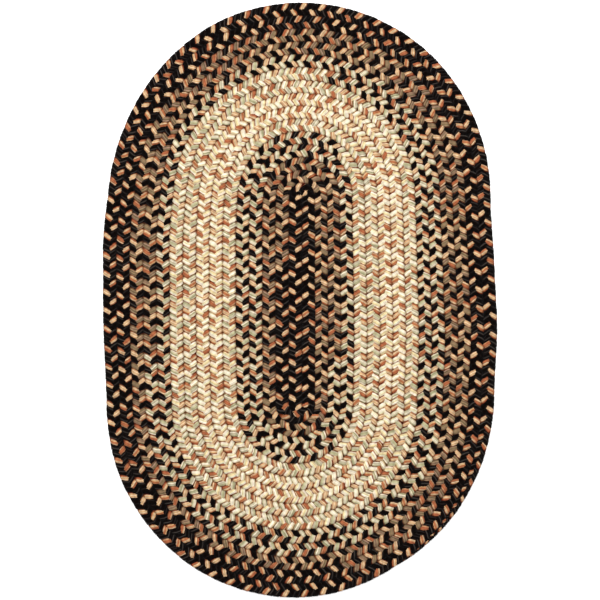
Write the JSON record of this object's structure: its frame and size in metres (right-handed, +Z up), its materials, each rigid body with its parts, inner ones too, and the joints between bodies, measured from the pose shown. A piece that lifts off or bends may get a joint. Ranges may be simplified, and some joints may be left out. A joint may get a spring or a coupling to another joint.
{
  "type": "braided rug",
  "caption": "Flat oval rug: one thick three-strand braid coiled edge to edge, in bands of charcoal, tan, taupe, sage and cream.",
  "frame": {"origin": "middle of the rug's underside, on the surface that it lies on", "axes": "+Y along the rug's length, towards the coil's top centre, where the braid first turns; +X across it; +Z up"},
  "size_m": [0.5056, 0.7632, 0.009],
  "materials": {
    "mixed_yarn": "matt braided yarn",
    "tan_yarn": "matt spun yarn, tan with rust and pink",
    "charcoal_yarn": "matt spun yarn with a grey thread",
    "cream_yarn": "matt spun yarn",
    "sage_yarn": "matt spun yarn, sage with white",
    "taupe_yarn": "matt spun yarn"
  },
  "bodies": {
    "root": {"braided_rug": "mixed_yarn"}
  },
  "joints": []
}
